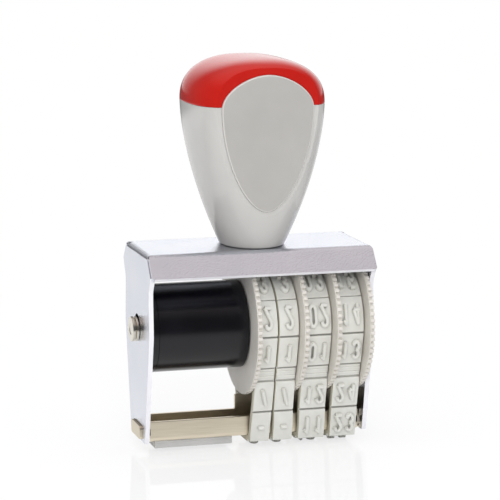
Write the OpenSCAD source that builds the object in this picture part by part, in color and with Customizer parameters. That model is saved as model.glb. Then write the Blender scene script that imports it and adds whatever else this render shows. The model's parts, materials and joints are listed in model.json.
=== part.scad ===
// Hand date stamp: four printing bands on thumbwheels, carried by one axle in a
// folded sheet frame, pressed on the paper by a channel bar, with a grip on top.
// X runs along the axle, +Y to the back, +Z up. z = 0 is the printing plane.

/* [Frame] */
// Width over both side plates
frame_w = 46; // [42:0.1:60]
// Gap between the thumbwheels and the underside of the top
top_gap = 0.9; // [0.6:0.05:3]
// Thickness of the sheet
sheet_t = 0.9; // [0.6:0.05:1]
// Outer radius of the bends at the top of the side plates
bend_r = 1.1; // [1.1:0.1:2]
// Depth of the flat top, front to back
top_d = 18.6; // [16:0.1:22]
// How far each lip drops below the top
lip_drop = 4.2; // [3:0.1:5]
// How far each lip leans out from the top's edge
lip_out = 3.45; // [2:0.05:5]
// Gap between a lip's end and a side plate's outer face
lip_inset = 0.15; // [0.1:0.05:2]
// Gap between the side plates' wings and the lips in front of them
wing_gap = 0.1; // [0.05:0.05:0.5]
// Depth of a side plate at its waist
waist_d = 19.8; // [16:0.1:22]
// Height of the waist above the axle
waist_rise = 8.5; // [6:0.1:10]
// Depth of a side plate at the axle
ear_d = 20.6; // [17:0.1:24]
// Depth of a side plate at its foot
foot_d = 11.8; // [9.5:0.1:14]
// How far the side plates' feet end above the bar's underside
foot_lift = 0.3; // [0:0.05:0.4]

/* [Axle] */
// Height of the axle above the printing plane
axle_h = 24.8; // [24:0.1:28]
// Diameter of the axle
axle_d = 4.1; // [3:0.1:4.6]
// Diameter of the discs of each head
head_d = 5; // [4.4:0.1:6]
// Thickness of each disc of a head
head_t = 0.5; // [0.4:0.05:1]
// Width of the neck between the two discs of a head
neck_w = 0.25; // [0.2:0.05:0.6]
// Diameter of the neck between the two discs of a head
neck_d = 3.4; // [2.6:0.1:4]
// Gap between a head and the side plate
head_gap = 0.1; // [0.05:0.05:0.3]
// Room for a head to pass through its hole, on the radius
head_room = 0.05; // [0.05:0.05:0.3]
// Gap under the axle where it rests in its hole
seat_gap = 0.02; // [0.01:0.01:0.05]
// Running clearance of wheels and drum on the axle, on the radius
run_gap = 0.05; // [0.02:0.01:0.1]

/* [Thumbwheels] */
// Diameter over the teeth of a thumbwheel
wheel_d = 28.8; // [27:0.1:30]
// Thickness of the toothed flange
flange_t = 1; // [0.8:0.05:1.4]
// Number of teeth on a flange
tooth_count = 70; // [50:2:90]
// Depth of the gaps between teeth
tooth_depth = 0.5; // [0.2:0.05:0.8]
// Share of the tooth pitch that a tooth fills
tooth_share = 0.55; // [0.4:0.05:0.7]
// Diameter of the core that carries a band
core_d = 18.2; // [16:0.1:19]
// Gap between neighbours on the axle
wheel_gap = 0.15; // [0.1:0.05:0.3]
// Gap between the last wheel and the right side plate
end_gap = 0.1; // [0.1:0.05:0.5]
// Gap between the two day bands
pair_gap = 0.3; // [0.1:0.05:0.5]

/* [Spacer drum] */
// Diameter of the drum
drum_d = 17.6; // [14:0.1:19]
// Wall of the drum and of its hub
drum_wall = 1.3; // [1:0.1:2]
// Thickness of the web between hub and wall
drum_web = 2; // [1:0.1:4]

/* [Bands] */
// Width of the two day bands
day_band_w = 4.05; // [3.6:0.05:5]
// Width of the month band and of the year band
date_band_w = 5.5; // [5.2:0.05:6.5]
// Thickness of a band's backing
band_t = 0.75; // [0.7:0.05:1]
// Height of a cell above the backing
cell_t = 0.55; // [0.4:0.05:1.2]
// Height of the characters above a cell
relief = 0.9; // [0.5:0.05:1.2]
// Gap between a band and the core or bar inside it
band_gap = 0.1; // [0.1:0.05:0.25]
// Gap between a band and the flange beside it
side_gap = 0.1; // [0.05:0.05:0.3]
// Gap between two cells
cell_gap = 0.35; // [0.2:0.05:0.6]
// Length of the joining strip of a band
seam_l = 2.8; // [2:0.1:4]
// How far the bands stand ahead of the middle of the bar
band_lead = -0.4; // [-1:0.1:1]
// Height of a character
char_h = 4.2; // [3:0.1:5]
// Width of a character
char_w = 1.9; // [1.5:0.1:2.1]
// Width of a character's strokes
stroke = 0.5; // [0.3:0.05:0.6]
// Gap between the two figures of a number
char_gap = 0.5; // [0.3:0.05:0.8]
// First year on the year band
first_year = 13; // [10:1:80]

/* [Bar and text plate] */
// Depth of the channel bar, front to back
bar_d = 7.5; // [6.5:0.1:8.5]
// Height of the channel bar's walls
bar_h = 4.15; // [3.4:0.05:4.5]
// Thickness of the bar's sheet
bar_t = 0.8; // [0.6:0.05:1]
// Outer radius of the bar's lower bends
bar_r = 1; // [0.9:0.05:1.4]
// Gap between the raised back wall and the thumbwheels
guide_gap = 1; // [0.4:0.1:2]
// Clearance at the bar's ends
bar_gap = 0.1; // [0.05:0.05:0.3]
// Height of the tongues at the bar's ends
tongue_h = 2.7; // [2.2:0.1:3]
// How far a tongue stands out of its side plate
tongue_out = 0.55; // [0.3:0.05:1.5]
// Corner radius of a tongue
tongue_r = 0.7; // [0.3:0.1:1.1]
// Depth of the text plate, front to back
text_d = 5.6; // [4:0.1:6.4]
// Thickness of the text plate
text_t = 1.5; // [1:0.05:1.6]
// Space between the left side plate and the text plate
text_margin = 1.9; // [0.5:0.1:4]
// Space between the text plate and the first band
text_gap = 3.3; // [1:0.1:6]

/* [Handle] */
// How far the handle stands to the right of the middle
handle_x = 0.55; // [0:0.05:2]
// Width of the grip's base
grip_base_w = 12.7; // [12:0.1:15]
// Depth of the grip's base
grip_base_d = 16; // [12:0.1:18]
// Width of the grip where the cap begins
grip_w = 27.1; // [24:0.1:34]
// Depth of the grip's rounded form where the cap begins
grip_d = 28; // [26:0.1:31]
// Height of the grip, from the frame to the cap
grip_h = 28.6; // [26:0.1:34]
// Height of the cap
cap_h = 8.95; // [7:0.05:12]
// How much the front and back facets take off the rounded form where the cap begins
facet_cut = 2.15; // [1.7:0.05:3]
// Wall left round the grip's hollow, at its upper end
grip_wall = 3; // [2:0.1:4]
// Thickness of the cap's crown
cap_wall = 2.4; // [1.5:0.1:3]
// Length of the cap's spigot in the grip
spigot_l = 3; // [1:0.1:5]
// Clearance of the spigot, and of the label plates in their pockets
insert_gap = 0.1; // [0.05:0.05:0.3]
// How deep the facets still cut at the lower ends of the label plates
facet_tuck = 0.3; // [0.2:0.05:0.8]
// Border from a label plate to the grip's sides where the cap begins
label_side = 4.3; // [4.1:0.05:7]
// Border from a label plate to the cap's crown
label_above = 2.85; // [2.5:0.05:5]
// Border from a label plate to the frame
label_below = 7.8; // [7:0.1:14]
// How far below the seam a label plate is widest
label_drop = 0.4; // [0.1:0.1:3]
// Thickness of a label plate
label_t = 1; // [0.8:0.1:1.4]
// How far a label plate stands proud of its facet
label_proud = 0.4; // [0.2:0.1:0.6]

/* [Handle screw] */
// Diameter of the screw
screw_d = 3.8; // [3:0.1:4]
// Clearance of the screw in its holes, on the radius
screw_gap = 0.05; // [0.02:0.01:0.2]
// Length of the screw in the grip
screw_l = 12; // [8:0.5:14]
// Diameter of the screw's flat head
screw_head_d = 7; // [5:0.1:9]
// Thickness of the screw's flat head
screw_head_t = 0.6; // [0.4:0.05:0.7]

/* [Hidden] */
$fn = 72;
eps = 0.2;

steel = "lightsteelblue";
bar_metal = "tan";
black = [0.1, 0.1, 0.11];
grey_plastic = [0.78, 0.77, 0.74];
grey_rubber = [0.84, 0.84, 0.81];
red = [0.85, 0.12, 0.1];

// Frame
frame_h = axle_h + wheel_d / 2 + top_gap + sheet_t;
half_w = frame_w / 2;
inner_x = half_w - sheet_t;
lip_angle = atan2(lip_drop, lip_out);
wing_inset = (sheet_t + wing_gap) / sin(lip_angle);
wing_z = frame_h - lip_drop;
wing_half = top_d / 2 + lip_out - wing_inset;
waist_z = axle_h + waist_rise;

// Bands and bar: the characters of the lowest cells reach the printing plane
cell_out = band_gap + band_t + cell_t;
bar_z = cell_out + relief;
core_r = core_d / 2;
foot_z = bar_z + foot_lift;
bar_end = inner_x - bar_gap;
bar_inner_r = max(bar_r - bar_t, 0.2);
guide_top = axle_h - wheel_d / 2 - guide_gap;
tongue_z = bar_z + (bar_h - tongue_h) / 2;

// Stack on the axle, placed from the right side plate
year_flange_x = inner_x - end_gap - flange_t;
year_band_x = year_flange_x - side_gap - date_band_w;
month_flange_x = year_band_x - wheel_gap - flange_t;
month_band_x = month_flange_x - side_gap - date_band_w;
units_flange_x = month_band_x - wheel_gap - flange_t;
units_band_x = units_flange_x - side_gap - day_band_w;
tens_band_x = units_band_x - pair_gap - day_band_w;
tens_flange_x = tens_band_x - side_gap - flange_t;
drum_x = -inner_x + wheel_gap;
drum_end = tens_flange_x - wheel_gap;

// Path of a band: under the bar, up the front, over the core and down the back
cell_count = 12;
corner_y = bar_d / 2 - bar_r;
corner_z = bar_z + bar_r;
pulley_span = norm([corner_y, axle_h - corner_z]);
run_lean = asin((core_r - bar_r) / pulley_span) - atan2(corner_y, axle_h - corner_z);
run_turn = 90 + run_lean;
run_l = sqrt(pow(pulley_span, 2) - pow(core_r - bar_r, 2));
pitch_line = band_gap + band_t / 2;
corner_arc = (180 - run_turn) * PI / 180 * (bar_r + pitch_line);
core_arc = run_turn * PI / 180 * (core_r + pitch_line);
half_loop = corner_y + corner_arc + run_l + core_arc;
cell_pitch = (2 * half_loop - seam_l) / cell_count;
cell_l = cell_pitch - cell_gap;
seam_cell = 3;
cell_in = band_gap + 0.1;
strip_out = band_gap + band_t + 0.5 * cell_t;
rib_out = band_gap + band_t + 0.75 * cell_t;
rib_w = seam_l / 5;

// Handle
seam_z = frame_h + grip_h;
cap_top = seam_z + cap_h;
skin_sides = 56;
grip_rings = 14;
cap_rings = 10;
base_power = 2;
section_power = 3.2;
width_taper = 1.75;
depth_taper = 2.6;
crown_power = 2.35;
shoulder_power = 4.4;
egg_power = 1.8;
egg_root = 0.55;
label_w = grip_w - 2 * label_side;
label_up = cap_h - label_above + label_drop;
label_down = grip_h - label_below - label_drop;
cavity_r = grip_d / 2 - facet_cut - grip_wall;
cavity_z = frame_h + screw_l + cap_wall;

function smooth(a, b, u) = a + (b - a) * (1 - cos(180 * u)) / 2;
function mix(a, b, u) = a + (b - a) * u;

module along_x(from, to) {
    translate([from, 0, 0]) rotate([90, 0, 90]) linear_extrude(to - from) children();
}

module axle_bore(r) {
    along_x(-frame_w, frame_w) translate([0, axle_h]) circle(r);
}

// A rectangle standing on z = 0 whose two upper corners are round
module round_top(w, h, r) {
    translate([-w / 2, 0]) square([w, h - r]);
    translate([-w / 2 + r, 0]) square([w - 2 * r, h]);
    for (side = [-1, 1]) translate([side * (w / 2 - r), h - r]) circle(r);
}

// FRAME

// Half depth of a side plate at a height: foot, ear, waist, wing, top
function plate_half(z) =
    z <= axle_h ? mix(foot_d / 2, ear_d / 2, (z - foot_z) / (axle_h - foot_z))
    : z <= waist_z ? smooth(ear_d / 2, waist_d / 2, (z - axle_h) / waist_rise)
    : z <= wing_z ? smooth(waist_d / 2, wing_half, (z - waist_z) / (wing_z - waist_z))
    : mix(wing_half, top_d / 2 - wing_inset, (z - wing_z) / lip_drop);

module plate_outline() {
    steps = 6;
    heights = [
        foot_z,
        for (i = [0:steps]) mix(axle_h, waist_z, i / steps),
        for (i = [1:steps]) mix(waist_z, wing_z, i / steps),
        frame_h
    ];
    last = len(heights) - 1;
    polygon([
        for (z = heights) [-plate_half(z), z],
        for (i = [0:last]) [plate_half(heights[last - i]), heights[last - i]]
    ]);
}

module tongue_outline(gap) {
    r = tongue_r + gap;
    y = bar_d / 2 + gap - r;
    for (side = [-1, 1], z = [tongue_z - gap + r, tongue_z + tongue_h + gap - r])
        translate([side * y, z]) circle(r);
    translate([-y - r, tongue_z - gap + r]) square([2 * (y + r), tongue_h + 2 * gap - 2 * r]);
    translate([-y, tongue_z - gap]) square([2 * y, tongue_h + 2 * gap]);
}

module along_y() {
    rotate([90, 0, 0]) linear_extrude(4 * wing_half, center = true) children();
}

module folded_plates() {
    intersection() {
        along_y() difference() {
            round_top(frame_w, frame_h, bend_r);
            round_top(frame_w - 2 * sheet_t, frame_h - sheet_t, bend_r - sheet_t);
        }
        along_x(-frame_w, frame_w) plate_outline();
    }
}

// A lip with the strip of the top that carries it, its upper corners round like the bends
module lip() {
    slope = [lip_out, -lip_drop];
    inward = sheet_t * [-sin(lip_angle), -cos(lip_angle)];
    edge = [top_d / 2, frame_h];
    fold = edge - sheet_t * [tan(lip_angle / 2), 1];
    root = [top_d / 2 - wing_inset - eps, frame_h];
    intersection() {
        along_x(-frame_w, frame_w)
            polygon([root, edge, edge + slope, edge + slope + inward, fold, root - [0, sheet_t]]);
        along_y() round_top(frame_w - 2 * lip_inset, frame_h, bend_r);
    }
}

module frame() {
    hole_r = head_d / 2 + head_room;
    color(steel) difference() {
        union() {
            folded_plates();
            lip();
            mirror([0, 1, 0]) lip();
        }
        along_x(-frame_w, frame_w)
            translate([0, axle_h + hole_r - axle_d / 2 - seat_gap]) circle(hole_r);
        along_x(-frame_w, frame_w) tongue_outline(bar_gap);
        translate([handle_x, 0, frame_h - 2 * sheet_t])
            cylinder(r = screw_d / 2 + screw_gap, h = 3 * sheet_t);
    }
}

// AXLE, DRUM AND THUMBWHEELS

module axle() {
    first_disc = half_w + head_gap;
    second_disc = first_disc + head_t + neck_w;
    axle_end = second_disc + head_t;
    color(steel) {
        along_x(-first_disc, first_disc) translate([0, axle_h]) circle(axle_d / 2);
        along_x(-axle_end, axle_end) translate([0, axle_h]) circle(neck_d / 2);
        for (side = [0, 1], x = [first_disc, second_disc])
            mirror([side, 0, 0]) along_x(x, x + head_t) translate([0, axle_h]) circle(head_d / 2);
    }
}

module spacer_drum() {
    hub_r = axle_d / 2 + run_gap + drum_wall;
    web_x = (drum_x + drum_end - drum_web) / 2;
    color(black) difference() {
        union() {
            along_x(drum_x, drum_end) translate([0, axle_h]) difference() {
                circle(drum_d / 2);
                circle(drum_d / 2 - drum_wall);
            }
            along_x(drum_x, drum_end) translate([0, axle_h]) circle(hub_r);
            along_x(web_x, web_x + drum_web) translate([0, axle_h]) circle(drum_d / 2 - drum_wall / 2);
        }
        axle_bore(axle_d / 2 + run_gap);
    }
}

module toothed_disc() {
    pitch = 360 / tooth_count;
    tip = wheel_d / 2;
    root = tip - tooth_depth;
    half_tooth = tooth_share * pitch / 2;
    polygon([
        for (i = [0:tooth_count - 1])
            for (p = [[root, -half_tooth], [tip, -half_tooth], [tip, half_tooth], [root, half_tooth]])
                p[0] * [cos(i * pitch + p[1]), sin(i * pitch + p[1])]
    ]);
}

// A core as wide as its band, with the flange on its left or right side
module thumbwheel(flange_x, band_x, band_w) {
    core_from = min(band_x, flange_x + flange_t / 2);
    core_to = max(band_x + band_w, flange_x + flange_t / 2);
    color(grey_plastic) difference() {
        union() {
            along_x(flange_x, flange_x + flange_t) translate([0, axle_h]) toothed_disc();
            along_x(core_from, core_to) translate([0, axle_h]) circle(core_r);
        }
        axle_bore(axle_d / 2 + run_gap);
    }
}

module day_tens_wheel() thumbwheel(tens_flange_x, tens_band_x, day_band_w);
module day_units_wheel() thumbwheel(units_flange_x, units_band_x, day_band_w);
module month_wheel() thumbwheel(month_flange_x, month_band_x, date_band_w);
module year_wheel() thumbwheel(year_flange_x, year_band_x, date_band_w);

// BANDS

// Place on the front half of the path: [y, z, turn of the outward normal]
function front_station(s) =
    let (u = s - corner_y, v = u - corner_arc, w = v - run_l)
    u < 0 ? [-s, bar_z, 180]
    : v < 0 ? corner_station(180 - u / (bar_r + pitch_line) * 180 / PI)
    : w < 0 ? corner_station(run_turn) + v * [cos(run_turn), sin(run_turn), 0]
    : core_station(run_turn - w / (core_r + pitch_line) * 180 / PI);

function corner_station(turn) = [-corner_y - bar_r * sin(turn), corner_z + bar_r * cos(turn), turn];
function core_station(turn) = [-core_r * sin(turn), axle_h + core_r * cos(turn), turn];
function to_back(p) = [-p[0], p[1], -p[2]];

function station(s) =
    s < 0 ? to_back(front_station(-s))
    : s > half_loop ? to_back(front_station(2 * half_loop - s))
    : front_station(s);

function cell_place(i) = band_lead + i * cell_pitch + (i < seam_cell ? 0 : seam_l);

module on_path(s, x) {
    p = station(s);
    translate([x, p[0], p[1]]) rotate([p[2], 0, 0]) children();
}

module on_section(s) {
    p = station(s);
    translate([p[0], p[1]]) rotate(p[2]) children();
}

// Everything within a distance of the core and of the bar's lower side
module loop_outline(out) {
    on_core = core_station(run_turn) + out * [-sin(run_turn), cos(run_turn), 0];
    on_corner = corner_station(run_turn) + out * [-sin(run_turn), cos(run_turn), 0];
    translate([0, axle_h]) circle(core_r + out);
    for (side = [-1, 1]) translate([side * corner_y, corner_z]) circle(bar_r + out);
    polygon([
        [on_core[0], on_core[1]], [on_corner[0], on_corner[1]], [-corner_y, bar_z - out],
        [corner_y, bar_z - out], [-on_corner[0], on_corner[1]], [-on_core[0], on_core[1]]
    ]);
}

// Squared figures made of seven strokes, a to g
figure_strokes = ["abcdef", "bc", "abdeg", "abcdg", "bcfg", "acdfg", "acdefg", "abc", "abcdefg", "abcdfg"];

function stroke_box(name) =
    let (x = char_w / 2, y = char_h / 2, t = stroke)
    name == "a" ? [[-x, y - t], [char_w, t]]
    : name == "b" ? [[x - t, -t / 2], [t, y + t / 2]]
    : name == "c" ? [[x - t, -y], [t, y + t / 2]]
    : name == "d" ? [[-x, -y], [char_w, t]]
    : name == "e" ? [[-x, -y], [t, y + t / 2]]
    : name == "f" ? [[-x, -t / 2], [t, y + t / 2]]
    : [[-x, -t / 2], [char_w, t]];

module character(c) {
    if (c == "/")
        rotate(-atan2(char_w, char_h)) square([stroke, char_h], center = true);
    else
        for (name = c == "-" ? "g" : figure_strokes[ord(c) - ord("0")])
            let (b = stroke_box(name)) translate(b[0]) square(b[1]);
}

// Type reads backwards on the band, so its upper side points against the path
module number(label) {
    step = char_w + char_gap;
    mirror([0, 1, 0])
        for (i = [0:len(label) - 1])
            translate([(i - (len(label) - 1) / 2) * step, 0]) character(label[i]);
}

// Cross-section of a band: backing, flat cells and a joining strip with two ribs
module band_section() {
    difference() {
        loop_outline(band_gap + band_t);
        loop_outline(band_gap);
    }
    for (i = [0:cell_count - 1]) on_section(cell_place(i))
        translate([-cell_l / 2, cell_in]) square([cell_l, cell_out - cell_in]);
    on_section(cell_place(seam_cell) - (cell_pitch + seam_l) / 2) {
        translate([(cell_gap - seam_l) / 2, cell_in]) square([seam_l - cell_gap, strip_out - cell_in]);
        for (y = [-1.5, 0.5]) translate([y * rib_w, cell_in]) square([rib_w, rib_out - cell_in]);
    }
}

module band(x, w, labels) {
    color(grey_rubber) {
        along_x(x, x + w) band_section();
        for (i = [0:cell_count - 1]) on_path(cell_place(i), x + w / 2)
            translate([0, 0, cell_out - eps]) linear_extrude(relief + eps) number(labels[i]);
    }
}

day_labels = ["0", "-", "/", for (i = [1:9]) str(i)];
month_labels = [for (i = [0:cell_count - 1]) let (m = (i + 9) % 12 + 1) str(m < 10 ? "0" : "", m)];
year_labels = [for (i = [0:cell_count - 1]) str(first_year + (i + 9) % 12)];

module day_tens_band() band(tens_band_x, day_band_w, day_labels);
module day_units_band() band(units_band_x, day_band_w, day_labels);
module month_band() band(month_band_x, date_band_w, month_labels);
module year_band() band(year_band_x, date_band_w, year_labels);

// BAR AND TEXT PLATE

module round_bottom(w, h, r) {
    translate([0, h]) mirror([0, 1, 0]) round_top(w, h, r);
}

module bridge_bar() {
    wall_in = bar_d / 2 - bar_t;
    tongue_root = bar_end - bar_t;
    color(bar_metal) {
        along_x(-bar_end, bar_end) translate([0, bar_z]) difference() {
            round_bottom(bar_d, bar_h, bar_r);
            translate([0, bar_t]) round_bottom(2 * wall_in, bar_h, bar_inner_r);
        }
        translate([tens_flange_x, wall_in, bar_z + bar_h / 2])
            cube([bar_end - tens_flange_x, bar_t, guide_top - bar_z - bar_h / 2]);
        for (side = [0, 1]) mirror([side, 0, 0])
            along_x(tongue_root, half_w + tongue_out) tongue_outline(0);
    }
}

module text_plate() {
    from = -inner_x + text_margin;
    to = tens_band_x - text_gap;
    color(grey_rubber) translate([from, -text_d / 2, bar_z - text_t]) cube([to - from, text_d, text_t]);
}

// HANDLE

// Half size at a height of the grip: full at the seam, shrinking to the oval base
function grip_half(full, base, taper, z) = full / 2 - (full - base) / 2 * pow((seam_z - z) / grip_h, taper);
function half_width(z) = grip_half(grip_w, grip_base_w, width_taper, z);
function half_depth(z) = grip_half(grip_d, grip_base_d, depth_taper, z);
function cap_share(z, power) = pow(1 - pow((z - seam_z) / cap_h, power), 1 / power);

// One ring of the skin: an oval at the base that grows squarer towards the seam
function ring(a, b, power, z) = [
    for (i = [0:skin_sides - 1]) let (c = cos(i * 360 / skin_sides), s = sin(i * 360 / skin_sides))
        [handle_x + a * sign(c) * pow(abs(c), 2 / power), b * sign(s) * pow(abs(s), 2 / power), z]
];

grip_skin = [
    for (i = [0:grip_rings]) let (u = i / grip_rings, z = frame_h + u * grip_h)
        ring(half_width(z), half_depth(z), mix(base_power, section_power, u), z)
];
cap_skin = [
    for (i = [0:cap_rings]) let (z = seam_z + cap_h * sin(89 * i / cap_rings))
        ring(grip_w / 2 * cap_share(z, crown_power), grip_d / 2 * cap_share(z, shoulder_power), section_power, z)
];

module skin(rings) {
    n = skin_sides;
    top = len(rings) - 1;
    polyhedron(
        points = [for (r = rings, p = r) p],
        faces = [
            [for (j = [0:n - 1]) j],
            [for (j = [0:n - 1]) top * n + n - 1 - j],
            for (i = [0:top - 1], j = [0:n - 1]) let (k = (j + 1) % n) each [
                [i * n + j, (i + 1) * n + j, (i + 1) * n + k],
                [i * n + j, (i + 1) * n + k, i * n + k]
            ]
        ]
    );
}

// The facets run from the seam to where the label plates end on the skin
facet_seam = grip_d / 2 - facet_cut;
facet_foot = half_depth(frame_h + label_below) - facet_tuck;
facet_tilt = atan2(facet_seam - facet_foot, grip_h - label_below);
function facet_half(z) = facet_seam + (z - seam_z) * tan(facet_tilt);

// Room between the two leaning facets
module facet_wedge() {
    low = frame_h - grip_wall;
    high = cap_top + cap_wall;
    along_x(handle_x - grip_w, handle_x + grip_w) polygon([
        [-facet_half(low), low], [facet_half(low), low], [facet_half(high), high], [-facet_half(high), high]
    ]);
}

// Egg outline of a label plate, its origin at its widest level
module label_outline(gap) {
    steps = 16;
    half = label_w / 2 + gap;
    up = label_up + gap;
    down = label_down + gap;
    right = [
        for (i = [-steps:steps]) let (u = sin(90 * i / steps))
            [half * pow(1 - pow(abs(u), egg_power), egg_root), u * (u < 0 ? down : up)]
    ];
    polygon([
        each right,
        for (i = [1:2 * steps - 1]) let (p = right[2 * steps - i]) [-p[0], p[1]]
    ]);
}

module on_facet(side) {
    mirror([0, side, 0]) translate([handle_x, -facet_half(seam_z), seam_z])
        rotate([90 + facet_tilt, 0, 0]) translate([0, -label_drop, 0]) children();
}

module label(side) {
    color(grey_plastic) on_facet(side)
        translate([0, 0, label_proud - label_t]) linear_extrude(label_t) label_outline(0);
}

module label_pockets() {
    for (side = [0, 1]) on_facet(side)
        translate([0, 0, label_proud - label_t]) linear_extrude(2 * label_t) label_outline(insert_gap);
}

module handle_grip() {
    color(grey_plastic) difference() {
        intersection() {
            skin(grip_skin);
            facet_wedge();
        }
        label_pockets();
        translate([handle_x, 0, cavity_z])
            cylinder(r1 = screw_d, r2 = cavity_r, h = seam_z - cavity_z - spigot_l);
        translate([handle_x, 0, seam_z - spigot_l - eps]) cylinder(r = cavity_r, h = spigot_l + 2 * eps);
        translate([handle_x, 0, frame_h - eps])
            cylinder(r = screw_d / 2 + screw_gap, h = screw_l + screw_gap + eps);
    }
}

module handle_cap() {
    spigot_r = cavity_r - insert_gap;
    color(red) difference() {
        union() {
            intersection() {
                skin(cap_skin);
                facet_wedge();
            }
            translate([handle_x, 0, seam_z - spigot_l + insert_gap]) cylinder(r = spigot_r, h = spigot_l);
        }
        label_pockets();
        translate([handle_x, 0, seam_z - spigot_l])
            cylinder(r = spigot_r - cap_wall, h = spigot_l + cap_h - cap_wall);
    }
}

module front_label() label(0);
module rear_label() label(1);

module handle_screw() {
    under = frame_h - sheet_t;
    color(steel) translate([handle_x, 0, under - screw_head_t]) {
        cylinder(d = screw_head_d, h = screw_head_t);
        cylinder(d = screw_d, h = screw_head_t + sheet_t + screw_l);
    }
}

frame();
axle();
spacer_drum();
day_tens_wheel();
day_units_wheel();
month_wheel();
year_wheel();
day_tens_band();
day_units_band();
month_band();
year_band();
bridge_bar();
text_plate();
handle_grip();
handle_cap();
front_label();
rear_label();
handle_screw();
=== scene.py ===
import json
import math
import bpy
from mathutils import Matrix, Vector


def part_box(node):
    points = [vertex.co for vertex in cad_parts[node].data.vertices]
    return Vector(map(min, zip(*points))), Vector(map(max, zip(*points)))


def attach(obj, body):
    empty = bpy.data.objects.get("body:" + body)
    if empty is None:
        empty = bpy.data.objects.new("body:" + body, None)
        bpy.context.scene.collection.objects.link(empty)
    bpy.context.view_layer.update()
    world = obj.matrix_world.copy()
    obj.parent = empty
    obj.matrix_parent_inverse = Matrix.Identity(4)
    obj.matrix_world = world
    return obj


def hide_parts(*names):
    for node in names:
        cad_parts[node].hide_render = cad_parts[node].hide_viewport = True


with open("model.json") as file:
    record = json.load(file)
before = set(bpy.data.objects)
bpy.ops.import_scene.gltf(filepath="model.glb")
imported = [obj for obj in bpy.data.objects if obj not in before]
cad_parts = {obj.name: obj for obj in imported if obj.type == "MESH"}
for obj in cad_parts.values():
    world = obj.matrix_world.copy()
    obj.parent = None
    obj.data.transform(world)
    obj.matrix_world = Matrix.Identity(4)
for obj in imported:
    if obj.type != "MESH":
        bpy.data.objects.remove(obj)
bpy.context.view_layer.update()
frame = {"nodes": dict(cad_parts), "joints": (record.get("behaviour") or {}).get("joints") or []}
mm = 0.001
weld = 1e-7  # points closer than this, in metres, are one
# All joints turn about the axle, so any of them gives its height above the printing plane, in mm
axleHeight = round(frame["joints"][0]["pos_m"][2] / mm, 3)


# Tools for modelling

def startFresh():
    if bpy.context.mode != "OBJECT":
        bpy.ops.object.mode_set(mode="OBJECT")
    bpy.ops.object.select_all(action="DESELECT")


def named(name):
    piece = bpy.context.object
    piece.name = name
    piece.data.name = name
    return piece


def only(piece):
    startFresh()
    piece.select_set(True)
    bpy.context.view_layer.objects.active = piece


def settle(piece):  # the place, turn and size go into the mesh
    only(piece)
    bpy.ops.object.transform_apply(location=True, rotation=True, scale=True)


def block(name, low, high):
    startFresh()
    low, high = Vector(low) * mm, Vector(high) * mm
    bpy.ops.mesh.primitive_cube_add(size=1, location=(low + high) / 2)
    piece = named(name)
    piece.scale = high - low
    settle(piece)
    return piece


def sheetPlane(name, low, high, z):
    startFresh()
    low, high = Vector((*low, z)) * mm, Vector((*high, z)) * mm
    bpy.ops.mesh.primitive_plane_add(size=1, location=(low + high) / 2)
    piece = named(name)
    piece.scale = (high.x - low.x, high.y - low.y, 1)
    settle(piece)
    return piece


def rod(name, x0, x1, radius, z, sides=64):  # a cylinder along X
    startFresh()
    bpy.ops.mesh.primitive_cylinder_add(
        vertices=sides, radius=radius * mm, depth=(x1 - x0) * mm,
        location=((x0 + x1) / 2 * mm, 0, z * mm), rotation=(0, math.pi / 2, 0))
    piece = named(name)
    settle(piece)
    return piece


def screwHole(radius):  # a plain hole round the handle's screw, 0.05 mm deeper than its tip
    startFresh()
    low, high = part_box("handle_screw")
    depth = high[2] - low[2] + 0.05 * mm
    bpy.ops.mesh.primitive_cylinder_add(
        vertices=48, radius=radius * mm, depth=depth,
        location=((low[0] + high[0]) / 2, (low[1] + high[1]) / 2, low[2] + depth / 2))
    return named("screwHole")


def clearPick(piece, kind):
    only(piece)
    bpy.ops.object.mode_set(mode="EDIT")
    bpy.ops.mesh.select_mode(type=kind)
    bpy.ops.mesh.select_all(action="DESELECT")
    bpy.ops.object.mode_set(mode="OBJECT")


def pickVerts(piece, test):  # test gets the vertex in mm
    clearPick(piece, "VERT")
    for vert in piece.data.vertices:
        vert.select = test(vert.co / mm)
    bpy.ops.object.mode_set(mode="EDIT")


def pickEdges(piece, test):  # test gets both ends in mm
    clearPick(piece, "EDGE")
    points = [vert.co / mm for vert in piece.data.vertices]
    for edge in piece.data.edges:
        edge.select = test(points[edge.vertices[0]], points[edge.vertices[1]])
    bpy.ops.object.mode_set(mode="EDIT")


def pickFaces(piece, test):  # test gets the middle in mm and the normal
    clearPick(piece, "FACE")
    for face in piece.data.polygons:
        face.select = test(face.center / mm, face.normal)
    bpy.ops.object.mode_set(mode="EDIT")


def near(value, target):  # in mm
    return abs(value - target) < 1e-3


def both(a, b, axis, value):  # both ends of an edge lie at this place on the axis
    return near(getattr(a, axis), value) and near(getattr(b, axis), value)


def pushOut(move):  # extrude what is selected, in mm
    bpy.ops.mesh.extrude_region_move(TRANSFORM_OT_translate={"value": Vector(move) * mm})


def bevelled(width, segments):
    bpy.ops.mesh.bevel(offset=width * mm, segments=segments, affect="EDGES", clamp_overlap=True)


def sliced(place, normal, **settings):  # cut the whole mesh by a plane, its place in mm
    bpy.ops.mesh.select_all(action="SELECT")
    bpy.ops.mesh.bisect(plane_co=[p * mm for p in place], plane_no=normal, threshold=weld, **settings)


def turnedOut(piece):  # merge what spin left double and face outwards
    only(piece)
    bpy.ops.object.mode_set(mode="EDIT")
    bpy.ops.mesh.select_all(action="SELECT")
    bpy.ops.mesh.remove_doubles(threshold=weld)
    bpy.ops.mesh.normals_make_consistent(inside=False)
    bpy.ops.object.mode_set(mode="OBJECT")


def applied(piece, kind, **settings):
    only(piece)
    change = piece.modifiers.new(kind.lower(), kind)
    for key, value in settings.items():
        setattr(change, key, value)
    bpy.ops.object.modifier_apply(modifier=change.name)


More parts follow.
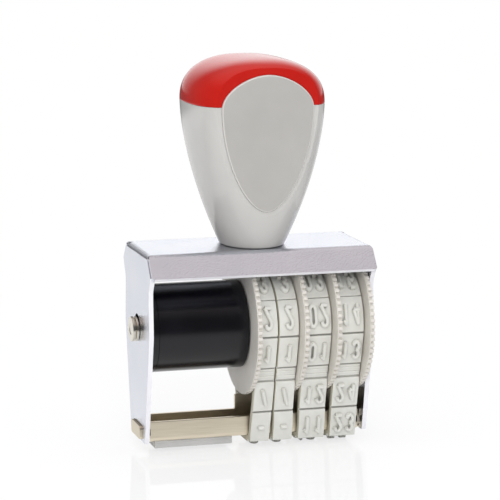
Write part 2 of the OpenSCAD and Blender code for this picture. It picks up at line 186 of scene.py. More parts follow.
def softened(piece, width, segments, angle=40):  # break the sharp edges
    applied(piece, "BEVEL", width=width * mm, segments=segments, limit_method="ANGLE",
            angle_limit=math.radians(angle))


def combined(piece, tool, operation):
    applied(piece, "BOOLEAN", operation=operation, object=tool, solver="EXACT")
    bpy.data.objects.remove(tool)


def copyOf(piece, name):
    only(piece)
    bpy.ops.object.duplicate(linked=False)
    return named(name)


def joined(piece, others):
    only(piece)
    for other in others:
        other.select_set(True)
    bpy.ops.object.join()


def turned(name, profile, steps):  # spin (x, radius) points round the axle
    startFresh()
    bpy.ops.mesh.primitive_plane_add(size=mm)
    piece = named(name)
    bpy.ops.object.mode_set(mode="EDIT")
    bpy.ops.mesh.select_mode(type="VERT")
    bpy.ops.mesh.select_all(action="SELECT")
    bpy.ops.mesh.merge(type="CENTER")
    places = [Vector((x, 0, axleHeight + radius)) for x, radius in profile]
    bpy.ops.transform.translate(value=places[0] * mm)
    for last, place in zip(places, places[1:]):
        pushOut(place - last)
    bpy.ops.mesh.select_all(action="SELECT")
    bpy.ops.mesh.spin(steps=steps, angle=2 * math.pi, center=(0, 0, axleHeight * mm), axis=(1, 0, 0))
    turnedOut(piece)
    return piece


def twoFinishes(piece, main, other, test):  # the other finish goes on the faces that pass the test
    piece.data.materials.append(main)
    piece.data.materials.append(other)
    pickFaces(piece, test)
    piece.active_material_index = 1
    bpy.ops.object.material_slot_assign()
    bpy.ops.object.mode_set(mode="OBJECT")


def finished(piece, body, slotName, material, *nodes, angle=35):
    settle(piece)
    bpy.ops.object.shade_smooth_by_angle(angle=math.radians(angle))
    applied(piece, "WEIGHTED_NORMAL", keep_sharp=True)  # flat faces stay flat up to their bevels
    if not piece.data.materials:
        piece.data.materials.append(material)
    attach(piece, body)
    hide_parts(*nodes)
    print("made", piece.name, len(piece.data.polygons), "faces")


# Materials

def srgb(code):
    parts = [int(code[i:i + 2], 16) / 255 for i in (1, 3, 5)]
    return tuple(p / 12.92 if p <= 0.04045 else ((p + 0.055) / 1.055) ** 2.4 for p in parts) + (1.0,)


def addNode(tree, kind, links=None, **settings):
    made = tree.nodes.new(kind)
    for key, value in settings.items():
        setattr(made, key, value)
    for socket, value in (links or {}).items():
        if isinstance(value, bpy.types.NodeSocket):
            tree.links.new(value, made.inputs[socket])
        else:
            made.inputs[socket].default_value = value
    return made


def newMaterial(name):
    material = bpy.data.materials.new(name)
    material.use_nodes = True
    tree = material.node_tree
    return material, tree, tree.nodes["Principled BSDF"]


def perMetre(sizeInMm):  # a pattern's scale from its real size
    return 1 / (sizeInMm * mm)


def toneRamp(tree, pattern, dark, light, low, high):  # a colour from dark to light over part of a pattern
    tone = addNode(tree, "ShaderNodeValToRGB", {"Fac": pattern.outputs["Fac"]})
    for stop, position, code in zip(tone.color_ramp.elements, (low, high), (dark, light)):
        stop.position = position
        stop.color = srgb(code)
    return tone.outputs["Color"]


def addRelief(tree, shader, pattern, strength, height):  # a fine relief from a pattern, in mm
    bump = addNode(tree, "ShaderNodeBump", {
        "Height": pattern.outputs["Fac"], "Strength": strength, "Distance": height * mm})
    tree.links.new(bump.outputs["Normal"], shader.inputs["Normal"])


def eased(tree, value, start, end, low, high):  # low before start, high after end, smooth between
    return addNode(tree, "ShaderNodeMapRange", {
        "Value": value, "From Min": start, "From Max": end, "To Min": low, "To Max": high},
        interpolation_type="SMOOTHSTEP").outputs["Result"]


# Nickel plate on rolled steel sheet: a bright bluish mirror with a faint rolling grain
def nickelSheet():
    material, tree, shader = newMaterial("nickelPlatedSheet")
    shader.inputs["Metallic"].default_value = 1.0
    place = addNode(tree, "ShaderNodeTexCoord").outputs["Object"]
    stretched = addNode(tree, "ShaderNodeMapping", {"Vector": place, "Scale": (1, 1, 0.12)})
    # grain drawn at 0.5 mm, coarser than the real one, so that it shows
    grain = addNode(tree, "ShaderNodeTexNoise", {
        "Vector": stretched.outputs["Vector"], "Scale": perMetre(0.5), "Detail": 3.0})
    cloud = addNode(tree, "ShaderNodeTexNoise", {"Vector": place, "Scale": perMetre(9), "Detail": 2.0})
    colour = toneRamp(tree, cloud, "#DADDE8", "#E0E3EC", 0.3, 0.7)
    tree.links.new(colour, shader.inputs["Base Color"])
    rough = addNode(tree, "ShaderNodeMapRange", {
        "Value": grain.outputs["Fac"], "To Min": 0.14, "To Max": 0.24})
    tree.links.new(rough.outputs["Result"], shader.inputs["Roughness"])
    # peel of the plating, 0.33 mm wide, which shows as speckle where the sheet mirrors an uneven light
    peel = addNode(tree, "ShaderNodeTexNoise", {"Vector": place, "Scale": perMetre(0.33), "Detail": 1.0})
    addRelief(tree, shader, peel, strength=1.0, height=0.055)
    return material


# Turned steel with a warm nickel plate: fine rings from the tool
def nickelPin():
    material, tree, shader = newMaterial("nickelPlatedPin")
    shader.inputs["Metallic"].default_value = 1.0
    place = addNode(tree, "ShaderNodeTexCoord").outputs["Object"]
    centred = addNode(tree, "ShaderNodeMapping", {
        "Vector": place, "Location": (0, 0, -axleHeight * mm)})
    # tool rings 0.35 mm apart, where a wave repeats every 0.314 of its size
    rings = addNode(tree, "ShaderNodeTexWave", {
        "Vector": centred.outputs["Vector"], "Scale": perMetre(0.35 / 0.314), "Distortion": 0.6},
        wave_type="RINGS", rings_direction="X")
    colour = toneRamp(tree, rings, "#DCD6C9", "#EAE6DC", 0.0, 1.0)
    tree.links.new(colour, shader.inputs["Base Color"])
    shader.inputs["Roughness"].default_value = 0.2
    addRelief(tree, shader, rings, strength=0.1, height=0.02)
    return material


# Moulded plastic or rubber: colour that drifts a little, and a fine skin (sizes in mm)
def moulded(name, dark, light, roughness, driftSize, skinSize, skinHeight, gloss=0.5, recessShade=None, rim=None):
    material, tree, shader = newMaterial(name)
    coords = addNode(tree, "ShaderNodeTexCoord")
    place = coords.outputs["Object"]
    drift = addNode(tree, "ShaderNodeTexNoise", {
        "Vector": place, "Scale": perMetre(driftSize), "Detail": 3.0})
    colour = toneRamp(tree, drift, dark, light, 0.3, 0.7)
    if recessShade:  # painted shade: a greyer tone in the recesses, up to 0.9 mm from a wall
        clear = addNode(tree, "ShaderNodeAmbientOcclusion", {"Distance": 0.9 * mm}, samples=12)
        outside = addNode(tree, "ShaderNodeMapRange", {
            "Value": clear.outputs["AO"], "From Min": 0.3, "From Max": 0.78}).outputs["Result"]
        colour = addNode(tree, "ShaderNodeMixRGB", {
            "Fac": outside, "Color1": srgb(recessShade), "Color2": colour}).outputs[0]
    if rim:  # painted highlight: a paler tone on the rounded rim of a plate that faces along Y
        facing = addNode(tree, "ShaderNodeSeparateXYZ", {"Vector": coords.outputs["Normal"]}).outputs["Y"]
        straight = addNode(tree, "ShaderNodeMath", {0: facing}, operation="ABSOLUTE").outputs[0]
        onFace = addNode(tree, "ShaderNodeMapRange", {
            "Value": straight, "From Min": 0.9, "From Max": 0.985}).outputs["Result"]
        colour = addNode(tree, "ShaderNodeMixRGB", {
            "Fac": onFace, "Color1": srgb(rim), "Color2": colour}).outputs[0]
    tree.links.new(colour, shader.inputs["Base Color"])
    skin = addNode(tree, "ShaderNodeTexNoise", {
        "Vector": place, "Scale": perMetre(skinSize), "Detail": 2.0})
    rough = addNode(tree, "ShaderNodeMapRange", {
        "Value": skin.outputs["Fac"], "To Min": roughness * 0.85, "To Max": roughness * 1.15})
    tree.links.new(rough.outputs["Result"], shader.inputs["Roughness"])
    addRelief(tree, shader, skin, strength=0.3, height=skinHeight)
    shader.inputs["Specular IOR Level"].default_value = gloss
    return material


# Brass-toned plated strip: a warm satin metal with lengthwise drawing marks
def warmStrip():
    material, tree, shader = newMaterial("warmPlatedStrip")
    shader.inputs["Metallic"].default_value = 1.0
    place = addNode(tree, "ShaderNodeTexCoord").outputs["Object"]
    stretched = addNode(tree, "ShaderNodeMapping", {"Vector": place, "Scale": (0.05, 1, 1)})
    # drawing marks 0.3 mm wide
    marks = addNode(tree, "ShaderNodeTexNoise", {
        "Vector": stretched.outputs["Vector"], "Scale": perMetre(0.3), "Detail": 3.0})
    colour = toneRamp(tree, marks, "#DACFBA", "#E6DCC8", 0.25, 0.75)
    tree.links.new(colour, shader.inputs["Base Color"])
    shader.inputs["Roughness"].default_value = 0.38
    addRelief(tree, shader, marks, strength=0.04, height=0.03)
    return material


sheetFinish = nickelSheet()
pinFinish = nickelPin()
stripFinish = warmStrip()
# Cut edges of the plated sheet: dull, without the rolled gloss, and near-white as a painted highlight of the
# front light
edgeHighlightFinish = moulded(
    "cutSheetEdgeHighlight", "#EFEFF4", "#F7F7FA", roughness=0.4, driftSize=3, skinSize=0.3, skinHeight=0.02)
# Black ABS, moulded in a polished tool: deep gloss that picks up soft lights
drumFinish = moulded(
    "blackAbs", "#0A0A10", "#101016", roughness=0.24, driftSize=6, skinSize=0.5, skinHeight=0.008,
    gloss=0.42)
# Light grey ABS, satin: dull rim, soft shade between the teeth
wheelFinish = moulded(
    "greyAbsSatin", "#DCD8CF", "#E4E0D8", roughness=0.5, driftSize=4, skinSize=0.4, skinHeight=0.012,
    gloss=0.35)
# Moulded rubber, pale grey, dry and slightly powdery, with painted shade darkening the recesses round the
# figures
bandFinish = moulded(
    "paleRubber", "#DEDED7", "#E6E6E0", roughness=0.6, driftSize=3, skinSize=0.35, skinHeight=0.02,
    gloss=0.3, recessShade="#B0AFA9")
# Cut sides of the same rubber: yellower where the skin is missing
bandEdge = moulded(
    "cutRubber", "#CCC8B4", "#D8D4C3", roughness=0.65, driftSize=2, skinSize=0.3, skinHeight=0.02,
    gloss=0.3)
# Grey rubber backing strip, smooth
textFinish = moulded(
    "greyRubber", "#C2C2C0", "#CCCCCA", roughness=0.6, driftSize=5, skinSize=0.4, skinHeight=0.012,
    gloss=0.3)
# Pale grey polystyrene, high gloss: reflects the white room at its edges
gripFinish = moulded(
    "greyPolystyrene", "#C5C4C0", "#CDCCC8", roughness=0.15, driftSize=12, skinSize=0.8, skinHeight=0.005)
# Red polystyrene, high gloss
capFinish = moulded(
    "redPolystyrene", "#BA1A12", "#C42219", roughness=0.13, driftSize=12, skinSize=0.8, skinHeight=0.005,
    gloss=0.4)
# Satin grey insert plate, with a painted highlight on its rounded rim
labelFinish = moulded(
    "satinInsert", "#B1AFAA", "#B7B5B0", roughness=0.38, driftSize=8, skinSize=0.5, skinHeight=0.01,
    gloss=0.4, rim="#D6D4CF")
print("materials ready")


# Camera, light and floor

cameraSizes = {
    "eye": (-127.8, -450.5, 118.9), "target": (0.26, 0, 39.53), "lens": 170.97, "sensor": 36, "clipStart": 10}


def makeCamera(sizes):
    startFresh()
    eye, target = Vector(sizes["eye"]) * mm, Vector(sizes["target"]) * mm
    bpy.ops.object.camera_add(location=eye)
    camera = named("photoCamera")
    camera.rotation_euler = (target - eye).to_track_quat("-Z", "Y").to_euler()
    camera.data.lens = sizes["lens"]
    camera.data.sensor_width = sizes["sensor"]
    camera.data.clip_start = sizes["clipStart"] * mm
    bpy.context.scene.camera = camera


lightSizes = {
    "lamps": {
        "overheadBox": {"place": (-120, -140, 620), "size": 500, "power": 0.9},
        "frontBox": {"place": (-170, -600, 300), "size": 250, "power": 1.5}},
    "aim": (0, 0, 30), "ambient": 0.75, "mirrorAbove": 0.7, "aboveFrom": 0.4, "aboveTo": 1.0,
    "mirror": {"towards": (0.5, 0.85, 0), "from": 0.6, "to": 0.92, "dim": 0.12, "bright": 1.17}}


def makeLights(sizes):
    for name, lamp in sizes["lamps"].items():
        startFresh()
        place = Vector(lamp["place"]) * mm
        bpy.ops.object.light_add(type="AREA", location=place)
        box = named(name)
        box.rotation_euler = (Vector(sizes["aim"]) * mm - place).to_track_quat("-Z", "Y").to_euler()
        box.data.size = lamp["size"] * mm
        box.data.energy = lamp["power"]
        box.visible_glossy = False


def mirrorTone(tree, direction, s):  # in a mirror the studio is white on one side and dim elsewhere
    facing = addNode(tree, "ShaderNodeVectorMath", {0: direction, 1: s["towards"]}, operation="DOT_PRODUCT")
    return eased(tree, facing.outputs["Value"], s["from"], s["to"], s["dim"], s["bright"])


# The world lights softly; a mirror sees a white back wall and a warm soft box overhead
def makeWorld(sizes):
    world = bpy.data.worlds.new("whiteRoom")
    bpy.context.scene.world = world
    world.use_nodes = True
    tree = world.node_tree
    tree.nodes.clear()
    ray = addNode(tree, "ShaderNodeLightPath")
    direction = addNode(tree, "ShaderNodeTexCoord").outputs["Generated"]
    upward = addNode(tree, "ShaderNodeSeparateXYZ", {"Vector": direction}).outputs["Z"]
    height = eased(tree, upward, sizes["aboveFrom"], sizes["aboveTo"], 0.0, sizes["mirrorAbove"])
    above = addNode(tree, "ShaderNodeBackground", {"Color": srgb("#FFF2EE"), "Strength": height})
    around = addNode(tree, "ShaderNodeBackground", {
        "Color": (1, 1, 1, 1), "Strength": mirrorTone(tree, direction, sizes["mirror"])})
    mirrored = addNode(tree, "ShaderNodeAddShader", {0: around.outputs[0], 1: above.outputs[0]})
    seen = addNode(tree, "ShaderNodeBackground", {"Color": (1, 1, 1, 1), "Strength": 1.0})
    ambient = addNode(tree, "ShaderNodeBackground", {"Color": srgb("#FCFCFF"), "Strength": sizes["ambient"]})
    glossy = addNode(tree, "ShaderNodeMixShader", {
        0: ray.outputs["Is Glossy Ray"], 1: ambient.outputs[0], 2: mirrored.outputs[0]})
    clear = addNode(tree, "ShaderNodeMath", {
        0: ray.outputs["Is Camera Ray"], 1: ray.outputs["Is Transmission Ray"]}, operation="MAXIMUM")
    surface = addNode(tree, "ShaderNodeMixShader", {
        0: clear.outputs[0], 1: glossy.outputs[0], 2: seen.outputs[0]})
    addNode(tree, "ShaderNodeOutputWorld", {"Surface": surface.outputs[0]})


# White gloss board: nearly clean white to the eye, with the stamp's soft shadow and a faint mirror image
floorSizes = {
    "reach": 6000, "clearNear": 0.7, "fadeFrom": 40, "fadeTo": 170, "gloss": 0.04,
    "mirrorFrom": 60, "mirrorTo": 250, "mirrorNear": 0.95, "dimFrom": 430, "dimTo": 540,
    "mirror": {"towards": (0, 1, 0), "from": 0.2, "to": 0.85, "dim": 0.12, "bright": 0.93}}


def makeFloor(s):
    floor = sheetPlane("glossBoard", (-s["reach"], -s["reach"]), (s["reach"], s["reach"]), 0)
    material, tree, shader = newMaterial("whiteGlossBoard")
    shader.inputs["Base Color"].default_value = srgb("#FAFAFA")
    shader.inputs["Roughness"].default_value = s["gloss"]
    place = addNode(tree, "ShaderNodeTexCoord").outputs["Object"]
    away = addNode(tree, "ShaderNodeVectorMath", {0: place}, operation="LENGTH").outputs["Value"]
    clear = eased(tree, away, s["fadeFrom"] * mm, s["fadeTo"] * mm, s["clearNear"], 1.0)
    ray = addNode(tree, "ShaderNodeLightPath")
    share = addNode(tree, "ShaderNodeMath", {
        0: ray.outputs["Is Camera Ray"], 1: clear}, operation="MULTIPLY")
    glow = addNode(tree, "ShaderNodeEmission", {"Color": (1, 1, 1, 1), "Strength": 1.0})
    seen = addNode(tree, "ShaderNodeMixShader", {
        0: share.outputs[0], 1: shader.outputs[0], 2: glow.outputs[0]})
    # in a mirror the board is white near the stamp and fades into the room
    close = eased(tree, away, s["mirrorFrom"] * mm, s["mirrorTo"] * mm, s["mirrorNear"], 0.0)
    direction = addNode(tree, "ShaderNodeVectorMath", {0: place}, operation="NORMALIZE").outputs["Vector"]
    studio = mirrorTone(tree, direction, s["mirror"])
    far = eased(tree, away, s["dimFrom"] * mm, s["dimTo"] * mm, studio, s["mirror"]["dim"])
    bright = addNode(tree, "ShaderNodeMath", {0: close, 1: far}, operation="MAXIMUM")
    mirrored = addNode(tree, "ShaderNodeEmission", {"Color": (1, 1, 1, 1), "Strength": bright.outputs[0]})
    surface = addNode(tree, "ShaderNodeMixShader", {
        0: ray.outputs["Is Glossy Ray"], 1: seen.outputs[0], 2: mirrored.outputs[0]})
    tree.links.new(surface.outputs[0], tree.nodes["Material Output"].inputs["Surface"])
    floor.data.materials.append(material)


makeCamera(cameraSizes)
makeLights(lightSizes)
makeWorld(lightSizes)
makeFloor(floorSizes)
bpy.context.scene.view_settings.view_transform = "Standard"
print("camera, light and floor ready")


# Folded sheet frame

frameSizes = {
    "halfWidth": 23.0, "sheet": 0.9, "top": 41.0, "topHalfDepth": 9.3, "bend": 1.1,
    "lipEnd": 22.85, "lipOut": 3.45, "lipDrop": 4.2, "lipCorner": 0.4, "lipShoulder": 0.8, "lipBend": 0.8,
    "lipRoot": 0.3, "lipSpare": 1, "lipClear": 0.02, "wingInset": 1.29,
    "waistZ": 33.3, "waistHalf": 9.9, "earHalf": 10.3, "footZ": 2.6, "footHalf": 5.9, "curveSteps": 6,
    "holeRadius": 2.55, "holeZ": 25.28, "through": 30,
    "slotHalf": 3.85, "slotLow": 2.925, "slotHigh": 5.825, "slotCorner": 0.8, "screwHole": 1.95, "edge": 0.09}


def smoothStep(a, b, u):
    return a + (b - a) * (1 - math.cos(math.pi * u)) / 2


def plateLevels(s):  # (z, half depth) from the top down
    wingZ = s["top"] - s["lipDrop"]
    wingHalf = s["topHalfDepth"] + s["lipOut"] - s["wingInset"]
    bends = (
        (wingZ, wingHalf, s["waistZ"], s["waistHalf"]),
        (s["waistZ"], s["waistHalf"], axleHeight, s["earHalf"]))
    levels = [(wingZ, wingHalf)]
    for upperZ, upperHalf, lowerZ, lowerHalf in bends:
        for i in range(1, s["curveSteps"] + 1):
            u = i / s["curveSteps"]
            levels.append((upperZ + (lowerZ - upperZ) * u, smoothStep(upperHalf, lowerHalf, u)))
    levels.append((s["footZ"], s["footHalf"]))
    return levels


def makeLip(s, side):  # one sloping lip with the strip of the top that carries it
    deep, bottom = s["topHalfDepth"], s["top"] - s["lipDrop"]
    wide, root = s["lipEnd"] + s["lipSpare"], deep - s["wingInset"] - s["lipRoot"]
    nearY, farY = sorted((side * root, side * deep))
    lip = sheetPlane("lip", (-wide, nearY), (wide, farY), s["top"])
    pickEdges(lip, lambda a, b: both(a, b, "y", side * deep))
    pushOut((0, side * s["lipOut"], -s["lipDrop"]))
    pickEdges(lip, lambda a, b: both(a, b, "y", side * deep))
    bevelled(s["lipBend"], 6)
    applied(lip, "SOLIDIFY", thickness=s["sheet"] * mm, offset=-1)
    # round its upper corners
    above, beyond = s["top"] + s["lipClear"], deep + s["lipOut"] + s["lipSpare"]
    limit = block("lipLimit", (-s["lipEnd"], -beyond, 0), (s["lipEnd"], beyond, above))
    pickEdges(limit, lambda a, b: both(a, b, "z", above) and near(a.x, b.x))
    bevelled(s["lipShoulder"], 8)
    combined(lip, limit, "INTERSECT")
    pickEdges(lip, lambda a, b: near(abs(a.x), s["lipEnd"]) and near(a.x, b.x)
              and max(a.z, b.z) < bottom + 0.01 and abs(a.z - b.z) > 0.1)
    bevelled(s["lipCorner"], 4)
    bpy.ops.object.mode_set(mode="OBJECT")
    return lip


def makeFrame(s):
    half, deep = s["halfWidth"], s["topHalfDepth"] - s["wingInset"]
    sheet = sheetPlane("frameSheet", (-half, -deep), (half, deep), s["top"])
    # side plates, folded down level by level
    for side in (-1, 1):
        pickEdges(sheet, lambda a, b: both(a, b, "x", side * half) and near(a.z, s["top"]))
        lastZ, lastHalf = s["top"], deep
        for z, halfDepth in plateLevels(s):
            pushOut((0, 0, z - lastZ))
            bpy.ops.transform.resize(
                value=(1, halfDepth / lastHalf, 1), center_override=(side * half * mm, 0, z * mm))
            lastZ, lastHalf = z, halfDepth
    pickEdges(sheet, lambda a, b: both(a, b, "z", s["top"]) and near(abs(a.x), half) and near(a.x, b.x))
    bevelled(s["bend"], 6)
    turnedOut(sheet)
    applied(sheet, "SOLIDIFY", thickness=s["sheet"] * mm, offset=-1, use_even_offset=True)
    for side in (-1, 1):
        combined(sheet, makeLip(s, side), "UNION")
    # holes for the axle and slots for the bar's tongues
    holes = rod("axleHoles", -s["through"], s["through"], s["holeRadius"], s["holeZ"])
    combined(sheet, holes, "DIFFERENCE")
    slots = block("tongueSlots", (-s["through"], -s["slotHalf"], s["slotLow"]),
                  (s["through"], s["slotHalf"], s["slotHigh"]))
    pickEdges(slots, lambda a, b: near(a.y, b.y) and near(a.z, b.z))
    bevelled(s["slotCorner"], 5)
    bpy.ops.object.mode_set(mode="OBJECT")
    combined(sheet, slots, "DIFFERENCE")
    combined(sheet, screwHole(s["screwHole"]), "DIFFERENCE")
    softened(sheet, s["edge"], 2, 50)
    # dull cut edges on the side plates and under the lips, near-white as a painted highlight
    twoFinishes(sheet, sheetFinish, edgeHighlightFinish, lambda p, n: (
        abs(n.x) < 0.1 and abs(n.y) > 0.5 and n.y * p.y > 0
        and p.z < s["top"] - s["lipDrop"] and (abs(p.x) > half - s["sheet"] or n.z < -0.5)))
    finished(sheet, "stamp", "plated_sheet", sheetFinish, "frame")


makeFrame(frameSizes)


# Axle, drum and thumbwheels

axleSizes = {
    "radius": 2.05, "headRadius": 2.5, "neckRadius": 1.8, "inner": 23.1, "disc": 0.5, "neck": 0.25,
    "dimple": 0.1, "dimpleRim": 0.55, "dimpleFloor": 0.5, "edge": 0.18}


def makeAxle(s):
    head, neck = s["headRadius"], s["neckRadius"]
    first, second = s["inner"] + s["disc"], s["inner"] + s["disc"] + s["neck"]
    end = second + s["disc"]
    floor = end - s["dimple"]
    rightHalf = [
        (s["inner"], s["radius"]), (s["inner"], head), (first, head), (first, neck),
        (second, neck), (second, head), (end, head), (end, s["radius"] * s["dimpleRim"]),
        (floor, s["radius"] * s["dimpleFloor"]), (floor, 0)]
    leftHalf = [(-x, radius) for x, radius in reversed(rightHalf)]
    axle = turned("axlePin", leftHalf + rightHalf, 64)
    softened(axle, s["edge"], 3)
    finished(axle, "stamp", "plated_pin", pinFinish, "axle")


drumSizes = {
    "left": -21.95, "right": -2.25, "radius": 8.8, "wall": 1.3, "hub": 3.4, "bore": 2.1, "web": 2.0,
    "grooveX": -20.6, "groove": 0.12, "edge": 0.3}


def makeDrum(s):
    left, right, inside = s["left"], s["right"], s["radius"] - s["wall"]
    webLeft = (left + right - s["web"]) / 2
    webRight = webLeft + s["web"]
    drum = turned("drumRoller", [
        (left, inside), (left, s["radius"]),
        (s["grooveX"], s["radius"]), (s["grooveX"] + s["groove"] / 2, s["radius"] - s["groove"]),
        (s["grooveX"] + s["groove"], s["radius"]),
        (right, s["radius"]), (right, inside), (webRight, inside), (webRight, s["hub"]), (right, s["hub"]),
        (right, s["bore"]), (left, s["bore"]), (left, s["hub"]), (webLeft, s["hub"]), (webLeft, inside),
        (left, inside)], 128)
    softened(drum, s["edge"], 3, 60)
    finished(drum, "drum", "black_plastic", drumFinish, "spacer_drum")


wheelSizes = {
    "tip": 14.4, "depth": 0.65, "collar": 0.2, "collarDrop": 0.16, "flange": 1.0, "core": 9.1, "bore": 2.1,
    "teeth": 70, "toothShare": 0.56, "toothEdge": 0.15, "toothSink": 0.2, "toothIn": 0.1, "toothBack": 0.02,
    "dish": 0.12, "dishRadius": 12.6, "dishSlope": 0.3, "edge": 0.08}

# The four date units from left to right: wheel flange, band sides, and how far the slack run wanders
dateUnits = {
    "day_tens": {"name": "dayTens", "flange": -2.1, "left": -1.0, "right": 3.05, "wander": -0.15},
    "day_units": {"name": "dayUnits", "flange": 7.5, "left": 3.35, "right": 7.4, "wander": 0.25},
    "month": {"name": "month", "flange": 14.25, "left": 8.65, "right": 14.15, "wander": 0.25},
    "year": {"name": "year", "flange": 21.0, "left": 15.4, "right": 20.9, "wander": 0.15}}


def makeWheel(s, body, unit):
    name, left, right = unit["name"] + "Wheel", unit["left"], unit["right"]
    root, collar = s["tip"] - s["depth"], s["tip"] - s["collarDrop"]
    x0, x1 = unit["flange"], unit["flange"] + s["flange"]
    x2 = x0 + s["collar"]
    bore, core, dished = s["bore"], s["core"], s["dishRadius"] - s["dishSlope"]
    rim = [(x0, s["dishRadius"]), (x0, collar), (x2, collar), (x2, root), (x1, root), (x1, s["dishRadius"])]
    frontDish, backDish = x0 + s["dish"], x1 - s["dish"]
    if left > x0:  # core on the right of the flange
        profile = [(frontDish, bore), (frontDish, dished)] + rim + [
            (x1, core), (right, core), (right, bore), (frontDish, bore)]
    else:
        profile = [(left, bore), (left, core), (frontDish, core), (frontDish, dished)] + rim + [
            (backDish, dished), (backDish, bore), (left, bore)]
    wheel = turned(name, profile, 140)
    softened(wheel, s["edge"], 2, 50)
    # one rounded tooth, spun round the rim
    pitch = 2 * math.pi / s["teeth"]
    halfTooth = s["tip"] * pitch * s["toothShare"] / 2
    teeth = block(name + "Teeth", (x2 - s["toothIn"], -halfTooth, axleHeight + root - s["toothSink"]),
                  (x1 - s["toothBack"], halfTooth, axleHeight + s["tip"]))
    pickEdges(teeth, lambda a, b: min(a.z, b.z) > axleHeight + root
              or (min(a.x, b.x) > x2 and near(a.y, b.y)))
    bevelled(s["toothEdge"], 2)
    bpy.ops.mesh.select_all(action="SELECT")
    bpy.ops.mesh.spin(steps=s["teeth"] - 1, angle=pitch * (s["teeth"] - 1), dupli=True,
                      center=(0, 0, axleHeight * mm), axis=(1, 0, 0))
    bpy.ops.object.mode_set(mode="OBJECT")
    joined(wheel, [teeth])
    finished(wheel, body, "wheel_plastic", wheelFinish, body + "_wheel")


makeAxle(axleSizes)
makeDrum(drumSizes)
for body, unit in dateUnits.items():
    makeWheel(wheelSizes, body, unit)


# Rubber bands

bandSizes = {
    "barZ": 2.3, "cornerY": 2.75, "cornerZ": 3.3, "cornerRadius": 1.0, "coreRadius": 9.1,
    "backOut": 0.85, "backThick": 0.75, "faceOut": 1.4, "relief": 0.9, "pitchLine": 0.475,
    "cells": 12, "cellGap": 0.35, "seamLength": 2.8, "seamCell": 3, "lead": -0.4,
    "cellEdge": 0.22, "sideEdge": 0.12, "sideInset": 0.03, "cellSink": 0.2, "cellCuts": 9,
    "stripOut": 1.12, "stripEdge": 0.12, "ribOut": 1.26, "ribInset": 0.05,
    "figureHeight": 4.2, "figureWidth": 1.9, "figureStep": 2.4, "stroke": 0.72,
    "wanderLevel": 4.0, "wanderReach": 6.0, "wanderCuts": (6, 8, 10)}


def bandPath(s):  # lengths and angles of the loop
    rise = axleHeight - s["cornerZ"]
    span = math.hypot(s["cornerY"], rise)
    step = s["coreRadius"] - s["cornerRadius"]
    path = {"turn": math.pi / 2 + math.asin(step / span) - math.atan2(s["cornerY"], rise)}
    path["run"] = math.sqrt(span ** 2 - step ** 2)
    path["corner"] = (math.pi - path["turn"]) * (s["cornerRadius"] + s["pitchLine"])
    path["core"] = path["turn"] * (s["coreRadius"] + s["pitchLine"])
    path["half"] = s["cornerY"] + path["corner"] + path["run"] + path["core"]
    path["pitch"] = (2 * path["half"] - s["seamLength"]) / s["cells"]
    return path


def station(s, path, along):  # (y, z, turn of the outward side, on the core) at a length along the loop
    if along < 0 or along > path["half"]:
        y, z, turn, curved = station(s, path, -along if along < 0 else 2 * path["half"] - along)
        return -y, z, -turn, curved
    past = along - s["cornerY"]
    if past < 0:
        return -along, s["barZ"], math.pi, False
    turn = path["turn"]
    startY = -s["cornerY"] - s["cornerRadius"] * math.sin(turn)
    startZ = s["cornerZ"] + s["cornerRadius"] * math.cos(turn)
    past -= path["corner"]
    if past < path["run"]:
        return startY + past * math.cos(turn), startZ + past * math.sin(turn), turn, False
    turn -= (past - path["run"]) / (s["coreRadius"] + s["pitchLine"])
    return -s["coreRadius"] * math.sin(turn), axleHeight + s["coreRadius"] * math.cos(turn), turn, True


def onPath(piece, s, path, along, x):  # cell coordinates: x along the band, y outwards, z across
    y, z, turn, curved = station(s, path, along)
    if curved:
        size = max(v.co.x for v in piece.data.vertices) - min(v.co.x for v in piece.data.vertices)
        applied(piece, "SIMPLE_DEFORM", deform_method="BEND", deform_axis="Z",
                angle=-size / mm / (s["coreRadius"] + s["pitchLine"]))
    run = Vector((0, math.cos(turn), math.sin(turn)))
    out = Vector((0, -math.sin(turn), math.cos(turn)))
    axes = Matrix((run, out, Vector((1, 0, 0)))).transposed().to_4x4()
    piece.matrix_world = Matrix.Translation(Vector((x, y, z)) * mm) @ axes
    settle(piece)


def cellPad(s, length, width):
    half, across = length / 2, width / 2 - s["sideInset"]
    pad = block("cellPad", (-half, s["backOut"] - s["cellSink"], -across), (half, s["faceOut"], across))
    pickEdges(pad, lambda a, b: near(a.y, b.y) and near(a.z, b.z))
    bpy.ops.mesh.subdivide(number_cuts=s["cellCuts"])
    pickEdges(pad, lambda a, b: both(a, b, "y", s["faceOut"]) and near(abs(a.x), half) and near(a.x, b.x))
    bevelled(s["cellEdge"], 3)
    pickEdges(pad, lambda a, b: min(a.y, b.y) > s["backOut"] and near(abs(a.z), across) and near(a.z, b.z)
              and max(a.y, b.y) > s["faceOut"] - s["cellEdge"] - 0.01 and not near(a.x, b.x))
    bevelled(s["sideEdge"], 2)
    bpy.ops.object.mode_set(mode="OBJECT")
    return pad


def arc(x, y, rx, ry, start, end, steps=12):
    angles = [math.radians(start + (end - start) * i / steps) for i in range(steps + 1)]
    return [(x + rx * math.cos(a), y + ry * math.sin(a)) for a in angles]


